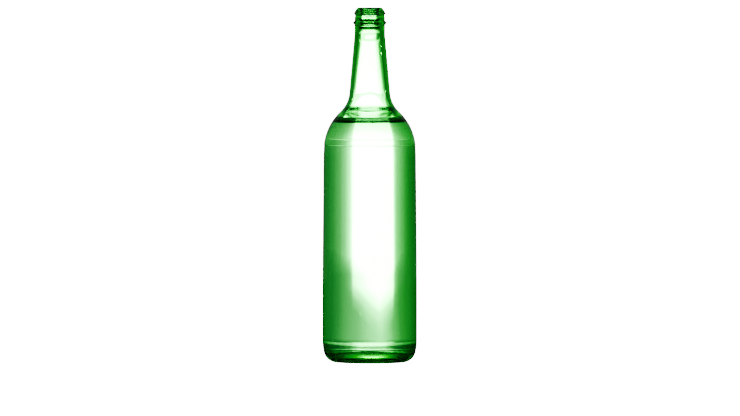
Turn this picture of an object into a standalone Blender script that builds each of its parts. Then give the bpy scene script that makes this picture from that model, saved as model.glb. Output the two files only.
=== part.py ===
"""Green glass bottle, 270 mm high and 72 mm across, filled with clear liquid up to its shoulder.

Two pieces: the bottle, one hollow moulding of green glass, and the liquid that stands in it.
Both are turned shapes about +Z. The origin is the centre of the circle that the bottle stands on.
"""

from math import asin, cos, pi, radians, sin, tan

import bpy

MM = 0.001
ROUND_STEPS = 48

# Driving dimensions of the outside.
HEIGHT = 270.0 * MM
BODY_RADIUS = 36.0 * MM
BODY_TOP_RADIUS = 35.2 * MM
TAPER_START_Z = 62.0 * MM
TAPER_END_Z = 158.0 * MM

# A shallow step under the shoulder marks the top of the panel that a label would go on.
PANEL_TOP_Z = 165.5 * MM
PANEL_STEP = 0.15 * MM

# The shoulder is a convex arc, a short slope and a concave arc that ends at the neck's own taper.
SHOULDER_CENTRE_Z = 161.3 * MM
SHOULDER_RADIUS = 40.5 * MM
SHOULDER_SLOPE = radians(45.9)
SLOPE_LENGTH = 1.1 * MM
NECK_FILLET = 21.8 * MM
NECK_TAPER = radians(5.08)
NECK_TOP_RADIUS = 11.6 * MM

# The mouth's finish: a reinforcing ring, a short band, a groove, a locking bead and a rounded lip.
RING_Z = 258.35 * MM
RING_HALF_HEIGHT = 1.9 * MM
RING_CREST = 12.85 * MM
BAND_RADIUS = 11.5 * MM
GROOVE_Z = 263.35 * MM
GROOVE_RADIUS = 11.2 * MM
BEAD_Z = 265.35 * MM
BEAD_HALF_HEIGHT = 1.3 * MM
BEAD_CREST = 12.15 * MM
LIP_FOOT_RADIUS = 11.5 * MM
LIP_BOW = 0.27 * MM
LIP_LAND_OUTER = 8.95 * MM
LIP_LAND_INNER = 8.25 * MM
LIP_EDGE = 0.5 * MM

# The heel is a long arc that leaves the body and a short one that reaches the standing ring.
HEEL_START_Z = 17.0 * MM
HEEL_BREAK_Z = 7.5 * MM
HEEL_LONG_RADIUS = 40.0 * MM
STANDING_RING_WIDTH = 3.0 * MM
PUSH_UP_HEIGHT = 5.5 * MM
PUSH_UP_CORNER = 2.2 * MM

# The inside.
WALL = 2.9 * MM
BORE_RADIUS = 7.75 * MM
NECK_BORE_RADIUS = 8.1 * MM
NECK_BORE_Z = 246.0 * MM
FLOOR_EDGE_Z = 5.8 * MM
FLOOR_CENTRE_Z = 9.2 * MM
INNER_HEEL_RADIUS = 7.0 * MM

# The liquid.
FILL_Z = 184.0 * MM
LIQUID_GAP = 0.3 * MM

GLASS_GREEN = (0.05, 0.42, 0.10, 1.0)
LIQUID_CLEAR = (0.93, 0.98, 0.93, 1.0)


def arc(centre, radius, start, end, steps):
    """Points of a circle about centre, from angle start to angle end; angle 0 points away from the axis."""
    turns = (start + (end - start) * i / steps for i in range(steps + 1))
    return [(centre[0] + radius * cos(t), centre[1] + radius * sin(t)) for t in turns]


def bulge(z, half_height, base_below, base_above, crest, steps=8):
    """A rounded ring round the axis, as points from below it to above it."""
    points = []
    for i in range(steps + 1):
        share = -1 + 2 * i / steps
        base = base_below if share < 0 else base_above
        rise = cos(share * pi / 2) ** 2
        points.append((base + (crest - base) * rise, z + half_height * share))
    return points


def bowed(start, end, rise, steps=4):
    """A shallow curve from start to end, which bows out to the right by rise at its middle."""
    along, up = end[0] - start[0], end[1] - start[1]
    length = (along**2 + up**2) ** 0.5
    shares = (i / steps for i in range(steps + 1))
    return [
        (start[0] + along * s + 4 * s * (1 - s) * rise * up / length,
         start[1] + up * s - 4 * s * (1 - s) * rise * along / length)
        for s in shares
    ]


def shoulder(offset):
    """The shoulder from the panel's top up to the neck's foot, moved in by offset."""
    convex = SHOULDER_RADIUS - offset
    centre = (BODY_TOP_RADIUS - SHOULDER_RADIUS, SHOULDER_CENTRE_Z)
    foot_angle = asin((PANEL_TOP_Z - SHOULDER_CENTRE_Z) / SHOULDER_RADIUS)
    lower = arc(centre, convex, foot_angle, SHOULDER_SLOPE, 11)
    foot = lower[-1]
    top = (foot[0] - SLOPE_LENGTH * sin(SHOULDER_SLOPE), foot[1] + SLOPE_LENGTH * cos(SHOULDER_SLOPE))
    concave = NECK_FILLET + offset
    fillet_centre = (top[0] + concave * cos(SHOULDER_SLOPE), top[1] + concave * sin(SHOULDER_SLOPE))
    upper = arc(fillet_centre, concave, pi + SHOULDER_SLOPE, pi + NECK_TAPER, 9)
    return lower + upper


def heel():
    """The outer heel, from the body down to the standing ring."""
    long_centre = (BODY_RADIUS - HEEL_LONG_RADIUS, HEEL_START_Z)
    sweep = (HEEL_START_Z - HEEL_BREAK_Z) / HEEL_LONG_RADIUS
    upper = arc(long_centre, HEEL_LONG_RADIUS, 0, -sweep, 3)
    turned = upper[-1]
    short = turned[1] / (1 - sin(sweep))
    short_centre = (turned[0] - short * cos(sweep), short)
    lower = arc(short_centre, short, -sweep, -pi / 2, 8)
    return upper + lower[1:]


def outer_outline():
    """The outside, from the lip's land down to the centre of the push-up."""
    outer_shoulder = shoulder(0)
    panel_top = (outer_shoulder[0][0] - PANEL_STEP, PANEL_TOP_Z - 2 * PANEL_STEP)
    body = [(BODY_RADIUS, TAPER_START_Z), (BODY_TOP_RADIUS, TAPER_END_Z), panel_top]
    neck_start = outer_shoulder[-1]
    neck_top_z = neck_start[1] + (neck_start[0] - NECK_TOP_RADIUS) / tan(NECK_TAPER)
    finish = [
        (NECK_TOP_RADIUS, neck_top_z),
        *bulge(RING_Z, RING_HALF_HEIGHT, NECK_TOP_RADIUS, BAND_RADIUS, RING_CREST),
        (BAND_RADIUS, GROOVE_Z - 2 * LIP_EDGE),
        (GROOVE_RADIUS, GROOVE_Z),
        *bulge(BEAD_Z, BEAD_HALF_HEIGHT, GROOVE_RADIUS, LIP_FOOT_RADIUS, BEAD_CREST)[1:],
        *bowed((LIP_FOOT_RADIUS, BEAD_Z + BEAD_HALF_HEIGHT), (LIP_LAND_OUTER, HEIGHT), LIP_BOW)[1:],
    ]
    base_edge = heel()[-1][0]
    ring_inner = base_edge - STANDING_RING_WIDTH
    push_up = [
        (ring_inner, 0.0),
        (ring_inner - PUSH_UP_CORNER / 2, PUSH_UP_CORNER / 2),
        *dome(ring_inner - PUSH_UP_CORNER, PUSH_UP_CORNER, PUSH_UP_HEIGHT),
    ]
    upwards = body + outer_shoulder + finish
    return upwards[::-1] + heel() + push_up


def dome(edge_radius, edge_z, centre_z, steps=4):
    """A shallow dome from its edge to the axis, by a squared cosine."""
    shares = (i / steps for i in range(steps + 1))
    return [
        (edge_radius * (1 - s), edge_z + (centre_z - edge_z) * sin(s * pi / 2) ** 2)
        for s in shares
    ]


def cavity_outline():
    """The inside, from the centre of the floor up to the foot of the neck's straight bore."""
    floor_radius = BODY_RADIUS - WALL - INNER_HEEL_RADIUS
    floor = dome(floor_radius, FLOOR_EDGE_Z, FLOOR_CENTRE_Z)[::-1]
    corner = (floor_radius, FLOOR_EDGE_Z + INNER_HEEL_RADIUS)
    inner_heel = arc(corner, INNER_HEEL_RADIUS, -pi / 2, 0, 7)
    body = [(BODY_RADIUS - WALL, TAPER_START_Z), (BODY_TOP_RADIUS - WALL, TAPER_END_Z)]
    return floor + inner_heel[1:] + body + shoulder(WALL)


def inner_outline():
    """The inside, from the centre of the floor up to the lip's land."""
    bore = [
        (NECK_BORE_RADIUS, NECK_BORE_Z),
        (BORE_RADIUS, RING_Z),
        (BORE_RADIUS, HEIGHT - LIP_EDGE),
        (LIP_LAND_INNER, HEIGHT),
    ]
    return cavity_outline() + bore


def liquid_outline():
    """The liquid, from the centre of its surface out and down to the centre of the floor."""
    below = [p for p in cavity_outline() if p[1] < FILL_Z - LIQUID_GAP]
    last, following = below[-1], cavity_outline()[len(below)]
    share = (FILL_Z - last[1]) / (following[1] - last[1])
    rim = (last[0] + (following[0] - last[0]) * share, FILL_Z)
    wall = [(max(r - LIQUID_GAP, 0.0), z) for r, z in below + [rim]]
    floor_z = FLOOR_EDGE_Z + INNER_HEEL_RADIUS
    raised = [(r, z + LIQUID_GAP if z < floor_z else z) for r, z in wall]
    return [(0.0, FILL_Z)] + raised[::-1]


def turned(name, outline, material):
    """A solid turned about +Z from an outline that starts and ends on the axis."""
    mesh = bpy.data.meshes.new(name)
    edges = [(i, i + 1) for i in range(len(outline) - 1)]
    mesh.from_pydata([(r, 0.0, z) for r, z in outline], edges, [])
    mesh.materials.append(material)
    obj = bpy.data.objects.new(name, mesh)
    bpy.context.scene.collection.objects.link(obj)
    screw = obj.modifiers.new("Turn", "SCREW")
    screw.steps = ROUND_STEPS
    screw.render_steps = ROUND_STEPS
    screw.use_merge_vertices = True
    screw.merge_threshold = 0.01 * MM
    screw.use_smooth_shade = True
    return obj


def principled(name, colour, roughness, ior):
    """A clear material with a colour of its own."""
    material = bpy.data.materials.new(name)
    material.use_nodes = True
    shader = material.node_tree.nodes["Principled BSDF"]
    shader.inputs["Base Color"].default_value = colour
    shader.inputs["Roughness"].default_value = roughness
    shader.inputs["Metallic"].default_value = 0.0
    shader.inputs["IOR"].default_value = ior
    shader.inputs["Transmission Weight"].default_value = 1.0
    return material


def clear_scene():
    for obj in list(bpy.data.objects):
        bpy.data.objects.remove(obj)


def main():
    clear_scene()
    glass = principled("green_glass", GLASS_GREEN, 0.03, 1.52)
    liquid = principled("clear_liquid", LIQUID_CLEAR, 0.0, 1.33)
    turned("glass_bottle", inner_outline() + outer_outline(), glass)
    turned("liquid_fill", liquid_outline(), liquid)


main()
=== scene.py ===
"""The looks of a green glass bottle filled with clear liquid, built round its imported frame.

The bottle and the liquid are turned surfaces with the small unevenness of real moulded glass.
The world stands for a studio: its brightness follows the direction, and what is seen directly, through the
glass and in a reflection each have their own. So does the floor. They are tuned for the view along +Y.
"""

from math import asin, atan2, cos, exp, hypot, pi, radians, sin, tan

import bpy
import numpy as np
from mathutils import Matrix, Vector

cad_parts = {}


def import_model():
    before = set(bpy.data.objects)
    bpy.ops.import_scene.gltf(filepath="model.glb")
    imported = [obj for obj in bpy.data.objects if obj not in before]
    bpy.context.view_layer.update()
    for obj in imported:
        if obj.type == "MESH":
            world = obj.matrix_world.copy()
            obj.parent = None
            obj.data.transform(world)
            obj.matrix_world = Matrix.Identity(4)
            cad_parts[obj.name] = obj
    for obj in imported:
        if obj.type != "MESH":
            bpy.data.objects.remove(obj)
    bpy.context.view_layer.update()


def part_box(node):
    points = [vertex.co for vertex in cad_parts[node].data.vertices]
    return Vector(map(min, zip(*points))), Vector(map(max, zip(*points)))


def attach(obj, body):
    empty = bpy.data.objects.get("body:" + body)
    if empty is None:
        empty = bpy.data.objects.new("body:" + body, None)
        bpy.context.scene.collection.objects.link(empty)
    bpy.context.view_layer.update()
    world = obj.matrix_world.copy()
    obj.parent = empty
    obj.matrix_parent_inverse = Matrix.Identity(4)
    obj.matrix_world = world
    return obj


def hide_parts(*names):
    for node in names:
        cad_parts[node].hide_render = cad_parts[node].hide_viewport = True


MM = 0.001

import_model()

# ---------------------------------------------------------------------------------------------
# Driving dimensions. The overall sizes come from the frame, the rest are the bottle's own.
GLASS_LOW, GLASS_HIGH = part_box("glass_bottle")
LIQUID_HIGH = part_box("liquid_fill")[1]
HEIGHT = GLASS_HIGH.z
BODY_RADIUS = (GLASS_HIGH.x - GLASS_LOW.x) / 2
FILL_Z = LIQUID_HIGH.z

BODY_TOP_RADIUS = 35.2 * MM
TAPER_START_Z = 62.0 * MM
TAPER_END_Z = 158.0 * MM
PANEL_TOP_Z = 165.5 * MM
PANEL_STEP = 0.15 * MM

SHOULDER_CENTRE_Z = 161.3 * MM
SHOULDER_RADIUS = 40.5 * MM
SHOULDER_SLOPE = radians(45.9)
SLOPE_LENGTH = 1.1 * MM
NECK_FILLET = 21.8 * MM
NECK_TAPER = radians(5.08)
NECK_TOP_RADIUS = 11.6 * MM

RING_Z = 258.35 * MM
RING_HALF_HEIGHT = 1.9 * MM
RING_CREST = 12.85 * MM
BAND_RADIUS = 11.5 * MM
GROOVE_Z = 263.35 * MM
GROOVE_RADIUS = 11.2 * MM
BEAD_Z = 265.35 * MM
BEAD_HALF_HEIGHT = 1.3 * MM
BEAD_CREST = 12.15 * MM
LIP_FOOT_RADIUS = 11.5 * MM
LIP_BOW = 0.27 * MM
LIP_LAND_OUTER = 8.95 * MM
LIP_LAND_INNER = 8.25 * MM
LIP_EDGE = 0.5 * MM

HEEL_START_Z = 17.0 * MM
HEEL_BREAK_Z = 7.5 * MM
HEEL_LONG_RADIUS = 40.0 * MM
STANDING_RING_WIDTH = 3.0 * MM
PUSH_UP_HEIGHT = 5.5 * MM
PUSH_UP_CORNER = 2.2 * MM

WALL = 2.9 * MM
BORE_RADIUS = 7.75 * MM
NECK_BORE_RADIUS = 8.1 * MM
NECK_BORE_Z = 246.0 * MM
FLOOR_EDGE_Z = 5.8 * MM
FLOOR_CENTRE_Z = 9.2 * MM
INNER_HEEL_RADIUS = 7.0 * MM

# The inside has no step where the panel ends: its wall is drawn smoothly past it.
KINK_Z = 165.0 * MM
KINK_REACH = 7.0 * MM

# The liquid reaches a little way into the glass, so that light bends once between the two.
LIQUID_OVERLAP = 0.06 * MM
MENISCUS_RISE = 1.8 * MM
MENISCUS_REACH = 1.7 * MM

COLUMNS = 224
EDGE_ROUNDING = 0.25 * MM

# Air bubbles on the inner wall, near its foot.
BUBBLE_SEED = 5
BUBBLE_COUNT = 16
BUBBLE_ANGLES = (-112.0, -70.0)
BUBBLE_HEIGHTS = (30.0 * MM, 56.0 * MM)
BUBBLE_RADII = (0.35 * MM, 0.55 * MM)

# Drops on the neck's bore: angle round the axis in degrees, height and half of the drop's own height.
DROPS = (
    (-32.0, 240.2 * MM, 0.9 * MM), (-36.0, 234.9 * MM, 1.2 * MM), (-30.0, 206.0 * MM, 0.8 * MM),
    (-34.0, 201.4 * MM, 0.7 * MM), (-146.0, 206.7 * MM, 0.8 * MM), (-150.0, 199.8 * MM, 0.9 * MM),
    (-50.0, 192.0 * MM, 1.0 * MM),
)


# ---------------------------------------------------------------------------------------------
# Outlines, as (distance from the axis, height).
def arc(centre, radius, start, end, steps):
    """Points of a circle about centre, from angle start to angle end; angle 0 points away from the axis."""
    turns = (start + (end - start) * i / steps for i in range(steps + 1))
    return [(centre[0] + radius * cos(t), centre[1] + radius * sin(t)) for t in turns]


def bulge(z, half_height, base_below, base_above, crest, steps=24):
    """A rounded ring round the axis, as points from below it to above it."""
    points = []
    for i in range(steps + 1):
        share = -1 + 2 * i / steps
        base = base_below if share < 0 else base_above
        rise = cos(share * pi / 2) ** 2
        points.append((base + (crest - base) * rise, z + half_height * share))
    return points


def bowed(start, end, rise, steps=12):
    """A shallow curve from start to end, which bows out to the right by rise at its middle."""
    along, up = end[0] - start[0], end[1] - start[1]
    length = hypot(along, up)
    shares = (i / steps for i in range(steps + 1))
    return [
        (
            start[0] + along * s + 4 * s * (1 - s) * rise * up / length,
            start[1] + up * s - 4 * s * (1 - s) * rise * along / length,
        )
        for s in shares
    ]


def straight(start, end, steps):
    shares = (i / steps for i in range(steps + 1))
    return [(start[0] + (end[0] - start[0]) * s, start[1] + (end[1] - start[1]) * s) for s in shares]


def dome(edge_radius, edge_z, centre_z, steps=16):
    """A shallow dome from its edge to the axis, by a squared sine."""
    shares = (i / steps for i in range(steps + 1))
    return [
        (edge_radius * (1 - s), edge_z + (centre_z - edge_z) * sin(s * pi / 2) ** 2)
        for s in shares
    ]


def rounded(points, radius, steps=4, sharpest=radians(12)):
    """The same outline with each corner cut back by radius and rounded."""
    made = [points[0]]
    for before, corner, after in zip(points, points[1:], points[2:]):
        ins = hypot(corner[0] - before[0], corner[1] - before[1])
        outs = hypot(after[0] - corner[0], after[1] - corner[1])
        turn = atan2(after[1] - corner[1], after[0] - corner[0]) - atan2(
            corner[1] - before[1], corner[0] - before[0]
        )
        turn = abs((turn + pi) % (2 * pi) - pi)
        if turn < sharpest:
            made.append(corner)
            continue
        back = min(radius, ins / 2.2)
        on = min(radius, outs / 2.2)
        a = [corner[k] + (before[k] - corner[k]) * back / ins for k in (0, 1)]
        b = [corner[k] + (after[k] - corner[k]) * on / outs for k in (0, 1)]
        for i in range(steps + 1):
            s = i / steps
            bent = [a[k] * (1 - s) ** 2 + corner[k] * 2 * s * (1 - s) + b[k] * s**2 for k in (0, 1)]
            made.append(tuple(bent))
    return made + [points[-1]]


def softened(points, low, high, reach):
    """The same outline with its distance from the axis evened out between two heights."""
    r, z = np.array(points).T
    made = []
    for distance, height in points:
        if low < height < high:
            near = np.linspace(height - reach, height + reach, 9)
            distance = float(np.mean(np.interp(near, z, r)))
        made.append((distance, height))
    return made


def shoulder(offset):
    """The shoulder from the panel's top up to the neck, moved in by offset."""
    convex = SHOULDER_RADIUS - offset
    centre = (BODY_TOP_RADIUS - SHOULDER_RADIUS, SHOULDER_CENTRE_Z)
    foot_angle = asin((PANEL_TOP_Z - SHOULDER_CENTRE_Z) / SHOULDER_RADIUS)
    lower = arc(centre, convex, foot_angle, SHOULDER_SLOPE, 30)
    foot = lower[-1]
    top = (foot[0] - SLOPE_LENGTH * sin(SHOULDER_SLOPE), foot[1] + SLOPE_LENGTH * cos(SHOULDER_SLOPE))
    concave = NECK_FILLET + offset
    fillet_centre = (top[0] + concave * cos(SHOULDER_SLOPE), top[1] + concave * sin(SHOULDER_SLOPE))
    upper = arc(fillet_centre, concave, pi + SHOULDER_SLOPE, pi + NECK_TAPER, 24)
    return lower + upper


def heel():
    """The outer heel, from the body down to the standing ring."""
    long_centre = (BODY_RADIUS - HEEL_LONG_RADIUS, HEEL_START_Z)
    sweep = (HEEL_START_Z - HEEL_BREAK_Z) / HEEL_LONG_RADIUS
    upper = arc(long_centre, HEEL_LONG_RADIUS, 0, -sweep, 8)
    turned = upper[-1]
    short = turned[1] / (1 - sin(sweep))
    short_centre = (turned[0] - short * cos(sweep), short)
    lower = arc(short_centre, short, -sweep, -pi / 2, 20)
    return upper + lower[1:]


def outer_outline():
    """The outside, from the lip's land down to the centre of the push-up."""
    outer_shoulder = shoulder(0)
    panel_top = (outer_shoulder[0][0] - PANEL_STEP, PANEL_TOP_Z - 2 * PANEL_STEP)
    body = [
        *straight((BODY_RADIUS, HEEL_START_Z), (BODY_RADIUS, TAPER_START_Z), 12)[1:],
        *straight((BODY_RADIUS, TAPER_START_Z), (BODY_TOP_RADIUS, TAPER_END_Z), 24)[1:],
        panel_top,
    ]
    neck_start = outer_shoulder[-1]
    neck_top_z = neck_start[1] + (neck_start[0] - NECK_TOP_RADIUS) / tan(NECK_TAPER)
    finish = [
        *straight(neck_start, (NECK_TOP_RADIUS, neck_top_z), 14)[1:],
        *bulge(RING_Z, RING_HALF_HEIGHT, NECK_TOP_RADIUS, BAND_RADIUS, RING_CREST),
        (BAND_RADIUS, GROOVE_Z - 2 * LIP_EDGE),
        (GROOVE_RADIUS, GROOVE_Z),
        *bulge(BEAD_Z, BEAD_HALF_HEIGHT, GROOVE_RADIUS, LIP_FOOT_RADIUS, BEAD_CREST)[1:],
        *bowed((LIP_FOOT_RADIUS, BEAD_Z + BEAD_HALF_HEIGHT), (LIP_LAND_OUTER, HEIGHT), LIP_BOW)[1:],
    ]
    base_edge = heel()[-1][0]
    ring_inner = base_edge - STANDING_RING_WIDTH
    push_up = [
        *straight((base_edge, 0.0), (ring_inner, 0.0), 6)[1:],
        (ring_inner - PUSH_UP_CORNER / 2, PUSH_UP_CORNER / 2),
        *dome(ring_inner - PUSH_UP_CORNER, PUSH_UP_CORNER, PUSH_UP_HEIGHT),
    ]
    upwards = body + outer_shoulder + finish
    return upwards[::-1] + heel() + push_up


def cavity_outline():
    """The inside, from the centre of the floor up to the foot of the neck's straight bore."""
    floor_radius = BODY_RADIUS - WALL - INNER_HEEL_RADIUS
    floor = dome(floor_radius, FLOOR_EDGE_Z, FLOOR_CENTRE_Z)[::-1]
    corner = (floor_radius, FLOOR_EDGE_Z + INNER_HEEL_RADIUS)
    inner_heel = arc(corner, INNER_HEEL_RADIUS, -pi / 2, 0, 14)
    foot = inner_heel[-1]
    body = [
        *straight(foot, (BODY_RADIUS - WALL, TAPER_START_Z), 12)[1:],
        *straight((BODY_RADIUS - WALL, TAPER_START_Z), (BODY_TOP_RADIUS - WALL, TAPER_END_Z), 24)[1:],
    ]
    over = shoulder(WALL)
    panel = straight(body[-1], over[0], 8)[1:-1]
    wall = softened(body + panel + over, KINK_Z - KINK_REACH, KINK_Z + KINK_REACH, KINK_REACH / 2)
    return floor + inner_heel[1:] + wall


def inner_outline():
    """The inside, from the centre of the floor up to the lip's land."""
    neck_foot = cavity_outline()[-1]
    bore = [
        *straight(neck_foot, (NECK_BORE_RADIUS, NECK_BORE_Z), 14)[1:],
        *straight((NECK_BORE_RADIUS, NECK_BORE_Z), (BORE_RADIUS, RING_Z), 4)[1:],
        (BORE_RADIUS, HEIGHT - LIP_EDGE),
        (LIP_LAND_INNER, HEIGHT),
    ]
    return cavity_outline() + bore


# ---------------------------------------------------------------------------------------------
# Unevenness of the moulded glass, as offsets away from the axis at an angle and a height.
def ripples(seed, count, turns, per_metre):
    """A smooth uneven function of angle and height, within about -1 to 1, from a few seeded waves."""
    rng = np.random.default_rng(seed)
    waves = [
        (
            rng.integers(turns[0], turns[1] + 1),
            rng.uniform(*per_metre),
            rng.uniform(0, 2 * pi),
            rng.uniform(0.5, 1),
        )
        for _ in range(count)
    ]
    total = sum(w[3] for w in waves)

    def value(angle, z):
        return sum(a * np.cos(n * angle + 2 * pi * k * z + p) for n, k, p, a in waves) / total

    return value


WALL_DRIFT = ripples(11, 5, (1, 3), (-6, 6))
DRAW_LINES = ripples(23, 9, (9, 26), (-2, 2))
SKIN = ripples(37, 9, (4, 14), (-45, 45))
DRIFT_DEPTH = 0.16 * MM
DRAW_LINE_DEPTH = 0.02 * MM
SKIN_DEPTH = 0.018 * MM
BORE_SHIFT = 0.35 * MM
BORE_SHIFT_ANGLE = radians(180)

# The unevenness fades out over these heights, so that the lip and the standing ring stay true.
CALM_BASE = 10 * MM
CALM_OUTER_TOP = 16 * MM
CALM_INNER_TOP = 20 * MM

# The wall is thicker where the shoulder narrows to the neck.
ROOT_Z = 188.6 * MM
ROOT_SPREAD = 1.9 * MM
ROOT_THICKENING = 0.45 * MM


def inner_offset(angle, r, z):
    """How far the inner wall stands out from its outline: uneven wall, draw lines and a bore off centre."""
    depth = np.clip(r / BODY_RADIUS, 0, 1)
    drift = DRIFT_DEPTH * WALL_DRIFT(angle, z)
    lines = DRAW_LINE_DEPTH * DRAW_LINES(angle, z)
    shift = BORE_SHIFT * np.cos(angle - BORE_SHIFT_ANGLE)
    finish = np.clip((HEIGHT - z) / CALM_INNER_TOP, 0, 1)
    root = ROOT_THICKENING * np.exp(-(((z - ROOT_Z) / ROOT_SPREAD) ** 2) / 2) * (r > BORE_RADIUS)
    return (drift + lines + shift) * depth**0.5 * finish - root


def outer_offset(angle, r, z):
    """How far the outside stands out from its outline: the skin's slight waviness."""
    calm = np.clip(z / CALM_BASE, 0, 1) * np.clip((HEIGHT - z) / CALM_OUTER_TOP, 0, 1)
    return SKIN_DEPTH * SKIN(angle, z) * calm


# ---------------------------------------------------------------------------------------------
# Meshes.
def turned(name, outline, offset=None, columns=COLUMNS):
    """A closed surface turned about +Z from an outline that starts and ends on the axis."""
    angles = np.linspace(0, 2 * pi, columns, endpoint=False)
    rings = np.array(outline[1:-1])
    r = np.repeat(rings[:, 0:1], columns, axis=1)
    z = np.repeat(rings[:, 1:2], columns, axis=1)
    a = np.repeat(angles[None, :], len(rings), axis=0)
    if offset is not None:
        r = r + offset(a, r, z)
    body = np.stack([r * np.cos(a), r * np.sin(a), z], axis=-1).reshape(-1, 3)
    poles = np.array([(0, 0, outline[0][1]), (0, 0, outline[-1][1])])
    points = np.vstack([body, poles])
    first, last = len(body), len(body) + 1
    faces = []
    for i in range(len(rings) - 1):
        for j in range(columns):
            k = (j + 1) % columns
            faces.append((i * columns + j, i * columns + k, (i + 1) * columns + k, (i + 1) * columns + j))
    top = (len(rings) - 1) * columns
    for j in range(columns):
        k = (j + 1) % columns
        faces.append((first, k, j))
        faces.append((last, top + j, top + k))
    mesh = bpy.data.meshes.new(name)
    mesh.from_pydata(points.tolist(), [], faces)
    mesh.validate()
    mesh.shade_smooth()
    piece = bpy.data.objects.new(name, mesh)
    bpy.context.scene.collection.objects.link(piece)
    return piece


def bottle():
    """The glass, from the push-up's centre up the outside, over the lip and down to the floor's centre."""
    inner = rounded(inner_outline(), EDGE_ROUNDING)
    outer = rounded(outer_outline(), EDGE_ROUNDING)
    outside = len(outer) - 2

    def offset(angle, r, z):
        made = inner_offset(angle, r, z)
        made[:outside] = outer_offset(angle, r, z)[:outside]
        return made

    return turned("bottle_glass", outer[:0:-1] + inner[::-1], offset)


def liquid():
    """The liquid, from the centre of the floor up the wall, over the meniscus and in to the axis."""
    rim_z = FILL_Z + MENISCUS_RISE
    wall = [p for p in cavity_outline() if p[1] < rim_z - 0.2 * MM]
    last = wall[-1]
    following = cavity_outline()[len(wall)]
    share = (rim_z - last[1]) / (following[1] - last[1])
    rim = (last[0] + (following[0] - last[0]) * share, rim_z)
    steps = 40
    surface = []
    for i in range(1, steps + 1):
        reach = (i / steps) ** 2
        rise = MENISCUS_RISE * exp(-rim[0] * reach / MENISCUS_REACH)
        surface.append((rim[0] * (1 - reach), FILL_Z + rise))
    grown = len(wall) + 1

    def offset(angle, r, z):
        made = np.zeros_like(r)
        count = grown - 1
        made[:count] = inner_offset(angle, r, z)[:count] + LIQUID_OVERLAP
        edge = made[count - 1]
        for i in range(count, len(made)):
            made[i] = edge * (r[i] / r[count - 1]) ** 8
        return made

    lowered = [(r, z - LIQUID_OVERLAP if z < FLOOR_EDGE_Z + INNER_HEEL_RADIUS / 2 else z) for r, z in wall]
    outline = lowered + [rim] + surface
    return with_bubbles(turned("liquid_body", outline, offset))


def blob(centre, angle, sizes, columns=14, rows=10):
    """A small closed blob turned by angle about +Z, with its size outwards, sideways and upwards."""
    points = [(0.0, 0.0, sizes[2])]
    for i in range(1, rows):
        tilt = pi * i / rows
        for j in range(columns):
            turn = 2 * pi * j / columns
            unit = (sin(tilt) * cos(turn), sin(tilt) * sin(turn), cos(tilt))
            points.append(tuple(size * part for size, part in zip(sizes, unit)))
    points.append((0.0, 0.0, -sizes[2]))
    faces = []
    for j in range(columns):
        k = (j + 1) % columns
        faces.append((0, 1 + j, 1 + k))
        for upper in range(1, 1 + (rows - 2) * columns, columns):
            lower = upper + columns
            faces.append((upper + j, lower + j, lower + k, upper + k))
        bottom = 1 + (rows - 2) * columns
        faces.append((len(points) - 1, bottom + k, bottom + j))
    turn_by = Matrix.Translation(centre) @ Matrix.Rotation(angle, 4, "Z")
    return [tuple(turn_by @ Vector(point)) for point in points], faces


def mesh_of(name, blobs, points=(), faces=(), inward=False):
    """One mesh of some blobs, next to the points and faces given."""
    points, faces = list(points), list(faces)
    for made, shape in blobs:
        first = len(points)
        points += made
        faces += [tuple(first + i for i in (face[::-1] if inward else face)) for face in shape]
    mesh = bpy.data.meshes.new(name)
    mesh.from_pydata(points, [], faces)
    mesh.validate()
    mesh.shade_smooth()
    return mesh


def inner_radius(angle, z):
    """The inner wall's distance from the axis at an angle and a height above the floor."""
    upper = [p for p in inner_outline() if p[1] > 20 * MM]
    r = float(np.interp(z, [p[1] for p in upper], [p[0] for p in upper]))
    return r + float(inner_offset(np.array([angle]), np.array([r]), np.array([z]))[0])


def with_bubbles(piece):
    """Small air bubbles that cling to the inner wall, as hollows in the liquid."""
    rng = np.random.default_rng(BUBBLE_SEED)
    blobs = []
    for _ in range(BUBBLE_COUNT):
        angle = radians(rng.uniform(*BUBBLE_ANGLES))
        z = rng.uniform(*BUBBLE_HEIGHTS)
        size = rng.uniform(*BUBBLE_RADII)
        r = inner_radius(angle, z) - size * 1.4
        blobs.append(blob((r * cos(angle), r * sin(angle), z), angle, (size, size, size)))
    old = piece.data
    points = [tuple(v.co) for v in old.vertices]
    faces = [tuple(f.vertices) for f in old.polygons]
    piece.data = mesh_of("liquid_body", blobs, points, faces, inward=True)
    return piece


def neck_drops():
    """Drops left on the neck's bore."""
    blobs = []
    for degrees_round, z, size in DROPS:
        angle = radians(degrees_round)
        r = inner_radius(angle, z) - 0.25 * size + LIQUID_OVERLAP
        blobs.append(blob((r * cos(angle), r * sin(angle), z), angle, (0.5 * size, 0.8 * size, size)))
    piece = bpy.data.objects.new("neck_drops", mesh_of("neck_drops", blobs))
    bpy.context.scene.collection.objects.link(piece)
    return piece


# ---------------------------------------------------------------------------------------------
# Shader sums and profiles.
def ramp(nodes, profile, low, high):
    made = nodes.new("ShaderNodeValToRGB")
    made.color_ramp.interpolation = "LINEAR"
    stops = made.color_ramp.elements
    while len(stops) < len(profile):
        stops.new(0.5)
    for stop, (at, value) in zip(stops, profile):
        stop.position = (at - low) / (high - low)
        stop.color = (value, value, value, 1)
    return made


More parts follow.
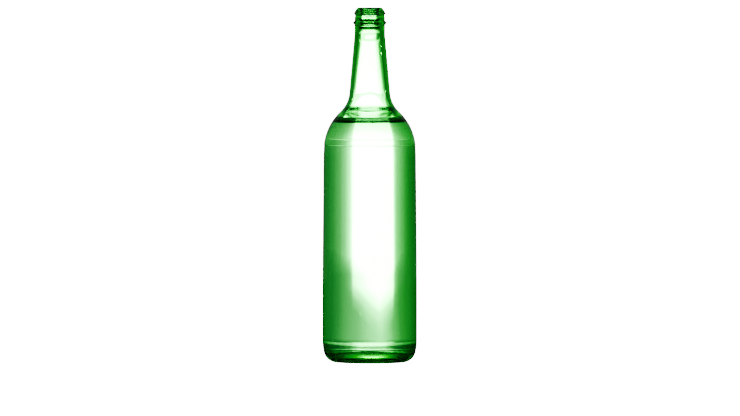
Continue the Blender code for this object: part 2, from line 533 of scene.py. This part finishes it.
class Sums:
    """Short names for the shader sums of one node tree."""

    def __init__(self, tree):
        self.nodes, self.links = tree.nodes, tree.links

    def sum(self, operation, *values):
        node = self.nodes.new("ShaderNodeMath")
        node.operation = operation
        for socket, value in zip(node.inputs, values):
            self.put(value, socket)
        return node.outputs["Value"]

    def put(self, value, socket):
        if isinstance(value, (int, float)):
            socket.default_value = value
        else:
            self.links.new(value, socket)

    def profile(self, value, profile):
        low, high = profile[0][0], profile[-1][0]
        made = ramp(self.nodes, profile, low, high)
        share = self.sum("DIVIDE", self.sum("SUBTRACT", value, float(low)), float(high - low))
        self.put(share, made.inputs["Fac"])
        return made.outputs["Color"]

    def blend(self, share, first, second):
        """From first to second as share goes from 0 to 1."""
        node = self.nodes.new("ShaderNodeMix")
        node.data_type = "FLOAT"
        self.put(share, node.inputs["Factor"])
        self.put(first, node.inputs["A"])
        self.put(second, node.inputs["B"])
        return node.outputs["Result"]

    def levels(self, value, profile):
        """The profile's level at a value, for levels above 1 as well."""
        top = max(level for _, level in profile)
        shares = [(at, level / top) for at, level in profile]
        return self.sum("MULTIPLY", self.profile(value, shares), float(top))

    def azimuth(self, vector):
        """Degrees from +Y towards +X, and the height part."""
        parts = self.nodes.new("ShaderNodeSeparateXYZ")
        self.put(vector, parts.inputs["Vector"])
        turn = self.sum("MULTIPLY", self.sum("ARCTAN2", parts.outputs["X"], parts.outputs["Y"]), 180 / pi)
        return turn, parts.outputs["Z"]


# ---------------------------------------------------------------------------------------------
# Materials.
def heights(s):
    """Object space in millimetres: how far out from the axis, how far along X either way, and how high."""
    place = s.nodes.new("ShaderNodeTexCoord")
    parts = s.nodes.new("ShaderNodeSeparateXYZ")
    s.put(place.outputs["Object"], parts.inputs["Vector"])
    x, y, z = (s.sum("MULTIPLY", parts.outputs[axis], 1 / MM) for axis in "XYZ")
    out = s.sum("SQRT", s.sum("ADD", s.sum("MULTIPLY", x, x), s.sum("MULTIPLY", y, y)))
    return out, s.sum("ABSOLUTE", x), z


def streaks(s, scale, stretch, detail):
    """Faint uneven lines that run up the bottle, from 0 to 1."""
    place = s.nodes.new("ShaderNodeTexCoord")
    turned_to = s.nodes.new("ShaderNodeMapping")
    turned_to.inputs["Scale"].default_value = (scale, scale, scale / stretch)
    noise = s.nodes.new("ShaderNodeTexNoise")
    noise.inputs["Scale"].default_value = 1.0
    noise.inputs["Detail"].default_value = detail
    s.put(place.outputs["Object"], turned_to.inputs["Vector"])
    s.put(turned_to.outputs["Vector"], noise.inputs["Vector"])
    return noise.outputs["Fac"]


def colour_from_shade_and_streaks(material, level):
    """The surface's colour from a level that holds painted shade and streaks, in which red and blue fade a
    little faster than green.
    """
    s = Sums(material.node_tree)
    mixed = s.nodes.new("ShaderNodeCombineColor")
    s.put(s.sum("POWER", level, TINT_RED), mixed.inputs["Red"])
    s.put(level, mixed.inputs["Green"])
    s.put(s.sum("POWER", level, TINT_BLUE), mixed.inputs["Blue"])
    s.put(mixed.outputs["Color"], s.nodes["Principled BSDF"].inputs["Base Color"])


def unevenness(material, scale, stretch, depth, roughness):
    """Fine waves in the surface and slight changes of gloss."""
    s = Sums(material.node_tree)
    shader = s.nodes["Principled BSDF"]
    waves = s.nodes.new("ShaderNodeBump")
    waves.inputs["Strength"].default_value = 1.0
    waves.inputs["Distance"].default_value = depth
    s.put(streaks(s, scale, stretch, 3.0), waves.inputs["Height"])
    s.put(waves.outputs["Normal"], shader.inputs["Normal"])
    s.put(s.sum("MULTIPLY", streaks(s, scale * 4, 1.0, 4.0), roughness), shader.inputs["Roughness"])


def finish_glass(material):
    s = Sums(material.node_tree)
    out, aside, z = heights(s)
    # Painted shade: light and dark bands painted into the colour of the finish's bore, where refraction in
    # its creases would darken it.
    bore = s.sum("LESS_THAN", out, FINISH_SHADE_REACH)
    finish = s.blend(bore, 1.0, s.levels(z, FINISH_PAINTED_SHADE))
    # Painted shade: a darker band where the shoulder meets the neck, darker to the sides along X than in
    # front of the axis.
    root = s.blend(s.profile(aside, ROOT_SHADE_SIDES), s.levels(z, ROOT_PAINTED_SHADE), s.levels(z, ROOT_SIDE_PAINTED_SHADE))
    root = s.blend(s.profile(aside, ROOT_SHADE_REACH), root, 1.0)
    flow = s.sum("MULTIPLY_ADD", streaks(s, *GLASS_STREAK_SHAPE), -GLASS_STREAKS, 1.0)
    # Painted shade: the finish's bands, the band at the neck's root and the darker heel, multiplied with
    # the streaks.
    level = s.sum("MULTIPLY", s.sum("MULTIPLY", finish, root), s.levels(z, HEEL_PAINTED_SHADE))
    colour_from_shade_and_streaks(material, s.sum("MULTIPLY", flow, level))
    unevenness(material, *GLASS_WAVE_SHAPE, GLASS_WAVES, GLASS_HAZE)


def finish_liquid(material):
    s = Sums(material.node_tree)
    out, _, z = heights(s)
    # Painted shade: a dark line at the liquid's edge, painted into its colour where refraction at the
    # meniscus would darken it.
    rim = s.blend(s.profile(out, RIM_SHADE_REACH), 1.0, s.levels(z, RIM_PAINTED_SHADE))
    flow = s.sum("MULTIPLY_ADD", streaks(s, *LIQUID_STREAK_SHAPE), -LIQUID_STREAKS, 1.0)
    colour_from_shade_and_streaks(material, s.sum("MULTIPLY", flow, rim))
    unevenness(material, *LIQUID_WAVE_SHAPE, LIQUID_WAVES, 0.0)


def clear_material(name, ior, roughness=0.0, absorption=None, density=0.0):
    material = bpy.data.materials.new(name)
    material.use_nodes = True
    nodes, links = material.node_tree.nodes, material.node_tree.links
    shader = nodes["Principled BSDF"]
    shader.inputs["Base Color"].default_value = (1, 1, 1, 1)
    shader.inputs["Roughness"].default_value = roughness
    shader.inputs["IOR"].default_value = ior
    shader.inputs["Transmission Weight"].default_value = 1.0
    if absorption:
        volume = nodes.new("ShaderNodeVolumeAbsorption")
        volume.inputs["Color"].default_value = (*absorption, 1)
        volume.inputs["Density"].default_value = density
        links.new(volume.outputs["Volume"], nodes["Material Output"].inputs["Volume"])
    return material


GLASS_DENSITY = 320.0
GLASS_ABSORBS = (300.0, 38.0, 272.0)
# Red and blue fade faster than green where a surface is darkened by painted shade or streaks.
TINT_RED = 1.12
TINT_BLUE = 1.1
# Painted shade: how much light a pair of surfaces lets through, at a height in millimetres, painted into
# the glass's colour as light and dark bands in the finish's bore. They stand in for refraction in creases
# that aren't modelled.
FINISH_SHADE_REACH = 9.3
FINISH_PAINTED_SHADE = (
    (249.0, 1.0), (251.0, 0.75), (253.3, 0.35), (254.2, 0.012), (255.4, 0.012), (256.3, 0.8),
    (257.3, 0.9), (257.8, 0.003), (260.6, 0.003), (261.3, 0.3), (262.0, 0.75), (263.0, 0.8),
    (263.8, 0.05), (265.6, 0.05), (266.2, 0.006), (267.5, 0.008), (268.2, 0.3), (268.7, 0.2),
    (269.3, 1.0), (270.0, 1.0),
)
# Painted shade where the shoulder meets the neck: a darker band painted into the glass's colour, in front
# of the axis and, darker still, to its sides along X. It stands in for the shade that refraction in the
# thick glass there gives.
ROOT_PAINTED_SHADE = ((188.0, 1.0), (189.5, 0.7), (191.0, 0.45), (192.6, 0.4), (194.2, 0.7), (195.0, 1.0))
ROOT_SIDE_PAINTED_SHADE = ((187.4, 1.0), (189.0, 0.4), (190.6, 0.12), (192.4, 0.1), (194.0, 0.35), (195.4, 1.0))
ROOT_SHADE_SIDES = ((0.0, 0.0), (5.5, 0.0), (9.5, 1.0), (40.0, 1.0))
ROOT_SHADE_REACH = ((0.0, 0.0), (18.0, 0.0), (20.5, 1.0), (40.0, 1.0))
# Painted shade at the heel: a darker band painted into the glass's colour, where the light passes through
# the thickest glass.
HEEL_PAINTED_SHADE = ((7.0, 1.0), (8.3, 0.5), (14.0, 0.45), (16.8, 1.0))
# Streaks: how dark they are, and (how fine, how far they stretch upwards, how much detail). Waves: the same
# without the detail, and their depth.
GLASS_STREAKS = 0.06
GLASS_STREAK_SHAPE = (260.0, 14.0, 2.0)
GLASS_WAVE_SHAPE = (300.0, 3.0)
GLASS_WAVES = 0.004 * MM
GLASS_HAZE = 0.02
# Painted shade at the liquid's edge: a dark line painted into the clear liquid's colour at the meniscus, at
# a distance from the axis and at a height in millimetres.
RIM_SHADE_REACH = ((0.0, 0.0), (21.5, 0.0), (23.5, 1.0), (40.0, 1.0))
RIM_PAINTED_SHADE = (
    (180.0, 1.0), (181.4, 1.0), (181.8, 0.15), (182.1, 0.001), (183.2, 0.001), (183.7, 0.03),
    (186.0, 0.08),
)
LIQUID_STREAKS = 0.03
LIQUID_STREAK_SHAPE = (120.0, 1.5, 2.0)
LIQUID_WAVE_SHAPE = (90.0, 1.0)
LIQUID_WAVES = 0.002 * MM


# ---------------------------------------------------------------------------------------------
# Camera, world and floor.
CAMERA_DISTANCE = 6.0
CAMERA_ELEVATION = radians(1.5)
CAMERA_AIM_Z = 117.45 * MM
CAMERA_SIDE = 0.2 * MM
CAMERA_LENS = 383.7


def camera():
    data = bpy.data.cameras.new("camera")
    data.lens = CAMERA_LENS
    data.sensor_width = 36.0
    data.clip_end = 100.0
    made = bpy.data.objects.new("camera", data)
    made.location = (
        CAMERA_SIDE,
        -CAMERA_DISTANCE * cos(CAMERA_ELEVATION),
        CAMERA_AIM_Z + CAMERA_DISTANCE * sin(CAMERA_ELEVATION),
    )
    made.rotation_euler = (pi / 2 - CAMERA_ELEVATION, 0, 0)
    bpy.context.scene.collection.objects.link(made)
    bpy.context.scene.camera = made


BACKGROUND = 6.4
# Brightness behind the bottle at an angle from +Y, as (degrees towards +X, radiance): one softbox and what
# spills past it.
MAIN_PROFILE = (
    (-90, 0.02), (-50, 0.07), (-33, 0.2), (-27, 0.42), (-22, 0.85), (-18.3, 1.6), (-16.6, 2.8),
    (-15.2, 8.0), (-14.4, 30.0), (10, 30.0), (11.5, 8.0), (13, 4.0), (16, 1.6), (21, 0.66), (29, 0.28),
    (39, 0.16), (60, 0.08), (90, 0.02),
)
# The same above the horizon, where the light is narrower and softer.
UPPER_PROFILE = (
    (-90, 0.02), (-62, 0.3), (-50, 0.7), (-34, 1.3), (-26, 1.9), (-19, 3.4), (-15, 6.0), (-11, 15.0),
    (-8, 30.0), (6, 30.0), (9, 16.0), (12, 9.0), (16, 5.5), (22, 3.4), (30, 2.2), (45, 1.2), (60, 0.6),
    (90, 0.02),
)
HORIZON = ((-0.6, 0.0), (-0.5, 0.0), (0.1, 1.0), (0.2, 1.0))
# How much of it is left at an elevation, in degrees.
HEIGHT_PROFILE = (
    (-90, 0.0), (-40, 0.02), (-22, 0.15), (-18, 0.33), (-13, 0.5), (-9, 1.0), (13, 1.0), (18, 0.1),
    (28, 0.04), (50, 0.03), (54, 0.008), (90, 0.008),
)
# The same close to the horizon.
LOW_PROFILE = (
    (-1.45, 1.0), (-1.3, 0.3), (0.1, 0.3), (0.3, 1.0), (2.1, 1.0), (2.4, 0.3), (6.5, 0.3), (9.0, 1.0),
)
# The share of the softbox's light that is left after any reflection, at an elevation.
REFLECTED_SHARE = (
    (-90, 0.01), (1.7, 0.01), (2.4, 0.035), (24, 0.035), (30, 0.02), (37, 0.045), (46, 0.045),
    (52, 0.005), (90, 0.005),
)
# Brightness of the rest of the studio, at an angle either way from +Y.
REST_PROFILE = ((0, 0.0), (78, 0.0), (95, 4.0), (180, 4.0))
REST_HEIGHT_PROFILE = ((-90, 0.0), (-50, 0.0), (-30, 1.0), (20, 1.0), (40, 0.1), (90, 0.1))
# What every direction has at least, through the glass, and in a reflection at an angle from +Y.
DARK = 0.3
REFLECTED_DARK = (
    (-180, 0.02), (-60, 0.02), (-30, 0.1), (30, 0.1), (60, 0.02), (80, 0.03), (92, 0.25), (118, 0.25),
    (135, 0.02), (180, 0.02),
)


def world():
    made = bpy.data.worlds.new("studio")
    bpy.context.scene.world = made
    made.use_nodes = True
    tree = made.node_tree
    tree.nodes.clear()
    s = Sums(tree)
    place = tree.nodes.new("ShaderNodeTexCoord")
    azimuth, height = s.azimuth(place.outputs["Generated"])
    elevation = s.sum("MULTIPLY", s.sum("ARCSINE", height), 180 / pi)
    path = tree.nodes.new("ShaderNodeLightPath")
    through = path.outputs["Is Transmission Ray"]
    lower, upper = s.levels(azimuth, MAIN_PROFILE), s.levels(azimuth, UPPER_PROFILE)
    main = s.blend(s.profile(elevation, HORIZON), lower, upper)
    shaped = s.sum("MULTIPLY", main, s.levels(elevation, HEIGHT_PROFILE))
    shaped = s.sum("MULTIPLY", shaped, s.levels(elevation, LOW_PROFILE))
    rest = s.levels(s.sum("ABSOLUTE", azimuth), REST_PROFILE)
    rest = s.sum("MULTIPLY", rest, s.levels(elevation, REST_HEIGHT_PROFILE))
    boxes = s.sum("ADD", shaped, s.sum("MULTIPLY", rest, through))
    mirrored = s.sum("GREATER_THAN", path.outputs["Glossy Depth"], 0.5)
    boxes = s.blend(mirrored, boxes, s.sum("MULTIPLY", main, s.levels(elevation, REFLECTED_SHARE)))
    dark = s.blend(through, s.levels(azimuth, REFLECTED_DARK), DARK)
    light = s.sum("ADD", boxes, dark)
    back = tree.nodes.new("ShaderNodeBackground")
    s.put(s.blend(path.outputs["Is Camera Ray"], light, BACKGROUND), back.inputs["Strength"])
    out = tree.nodes.new("ShaderNodeOutputWorld")
    s.put(back.outputs["Background"], out.inputs["Surface"])


FLOOR_RADIUS = 2.2
# Seen at a skimming angle: how much of the light behind the floor gets past it, at a distance in metres
# that is shortened by the angle from the brightest direction.
FLOOR_SKIM = ((0.0, 0.0), (0.45, 0.0), (0.7, 0.03), (0.95, 0.12), (1.2, 0.4), (1.5, 1.0), (2.2, 1.0))
FLOOR_EDGE = ((0.0, 0.0), (1.6, 0.0), (2.2, 1.0))
FLOOR_BRIGHTEST = -5.0
FLOOR_NARROWING = 0.042
# Its own brightness there, at an angle from +Y.
FLOOR_GLOW = (
    (-90, 0.25), (-50, 0.33), (-39, 0.34), (-27, 0.42), (-19, 0.55), (-13, 1.0), (-6, 2.5), (0, 1.85),
    (6, 1.05), (13, 0.74), (21, 0.43), (29, 0.31), (39, 0.31), (60, 0.36), (90, 0.3),
)
# Seen steeply: how much of the light below gets past the floor, at a distance in metres, and its own glow.
FLOOR_SHADE = ((0.0, 0.05), (0.035, 0.1), (0.12, 0.6), (0.3, 1.0), (2.2, 1.0))
FLOOR_STEEP_GLOW = 0.3
# A bright spot on the floor in front of the bottle's foot, by distance in metres and by angle from +Y.
FLOOR_SPOT = ((0.0, 10.0), (0.0275, 10.0), (0.031, 0.5), (0.035, 0.0), (0.06, 0.0))
FLOOR_SPOT_TURN = (
    (-180, 1.0), (-170, 0.85), (-163, 0.28), (-155, 0.12), (-140, 0.05), (-120, 0.02), (120, 0.02),
    (130, 0.04), (141, 0.1), (152, 0.3), (160, 0.85), (170, 1.0), (180, 1.0),
)
# From a skimming to a steep look at the floor.
FLOOR_STEEP = ((0.0, 0.0), (0.05, 0.0), (0.15, 1.0), (1.0, 1.0))


def floor():
    mesh = bpy.data.meshes.new("floor")
    steps = 96
    turns = (2 * pi * i / steps for i in range(steps))
    ring = [(FLOOR_RADIUS * cos(turn), FLOOR_RADIUS * sin(turn), 0) for turn in turns]
    mesh.from_pydata(ring, [], [tuple(range(steps))])
    made = bpy.data.objects.new("floor", mesh)
    made.location.z = -0.1 * MM
    material = bpy.data.materials.new("pale_floor")
    material.use_nodes = True
    tree = material.node_tree
    nodes, links = tree.nodes, tree.links
    nodes.clear()
    s = Sums(tree)
    place = nodes.new("ShaderNodeNewGeometry")
    length = nodes.new("ShaderNodeVectorMath")
    length.operation = "LENGTH"
    links.new(place.outputs["Position"], length.inputs[0])
    distance = length.outputs["Value"]
    azimuth, _ = s.azimuth(place.outputs["Position"])
    weight = nodes.new("ShaderNodeLayerWeight")
    steep = s.profile(s.sum("SUBTRACT", 1.0, weight.outputs["Facing"]), FLOOR_STEEP)
    aside = s.sum("ABSOLUTE", s.sum("SUBTRACT", azimuth, FLOOR_BRIGHTEST))
    skim = s.profile(s.sum("SUBTRACT", distance, s.sum("MULTIPLY", aside, FLOOR_NARROWING)), FLOOR_SKIM)
    skim = s.sum("MAXIMUM", skim, s.profile(distance, FLOOR_EDGE))
    shade = s.profile(distance, FLOOR_SHADE)
    passing = s.blend(steep, skim, shade)
    glowing = s.sum("MULTIPLY", s.sum("SUBTRACT", 1.0, skim), s.levels(azimuth, FLOOR_GLOW))
    spot = s.sum("MULTIPLY", s.levels(distance, FLOOR_SPOT), s.profile(azimuth, FLOOR_SPOT_TURN))
    glowing = s.blend(steep, glowing, s.sum("ADD", spot, FLOOR_STEEP_GLOW))
    clear = nodes.new("ShaderNodeBsdfTransparent")
    links.new(passing, clear.inputs["Color"])
    glow = nodes.new("ShaderNodeEmission")
    glow.inputs["Strength"].default_value = BACKGROUND
    dim = nodes.new("ShaderNodeEmission")
    path = nodes.new("ShaderNodeLightPath")
    s.put(s.sum("MULTIPLY", glowing, path.outputs["Is Transmission Ray"]), dim.inputs["Strength"])
    lit = nodes.new("ShaderNodeAddShader")
    links.new(clear.outputs["BSDF"], lit.inputs[0])
    links.new(dim.outputs["Emission"], lit.inputs[1])
    both = nodes.new("ShaderNodeMixShader")
    links.new(path.outputs["Is Camera Ray"], both.inputs["Fac"])
    links.new(lit.outputs["Shader"], both.inputs[1])
    links.new(glow.outputs["Emission"], both.inputs[2])
    out = nodes.new("ShaderNodeOutputMaterial")
    links.new(both.outputs["Shader"], out.inputs["Surface"])
    mesh.materials.append(material)
    bpy.context.scene.collection.objects.link(made)


def looks():
    scene = bpy.context.scene
    scene.view_settings.view_transform = "AgX"
    scene.view_settings.look = "AgX - High Contrast"
    scene.cycles.max_bounces = 32
    scene.cycles.transmission_bounces = 32
    scene.cycles.glossy_bounces = 8
    scene.cycles.diffuse_bounces = 3
    scene.cycles.volume_bounces = 0
    scene.cycles.caustics_refractive = True
    scene.cycles.caustics_reflective = True


camera()
world()
floor()
looks()

glass = clear_material(
    "green_glass", 1.52, 0.0, tuple(1 - a / GLASS_DENSITY for a in GLASS_ABSORBS), GLASS_DENSITY
)
water = clear_material("clear_liquid", 1.33)
finish_glass(glass)
finish_liquid(water)

bottle_glass = bottle()
bottle_glass.data.materials.append(glass)
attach(bottle_glass, "root")
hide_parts("glass_bottle")

liquid_body = liquid()
liquid_body.data.materials.append(water)
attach(liquid_body, "root")
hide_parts("liquid_fill")

drops = neck_drops()
drops.data.materials.append(water)
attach(drops, "root")
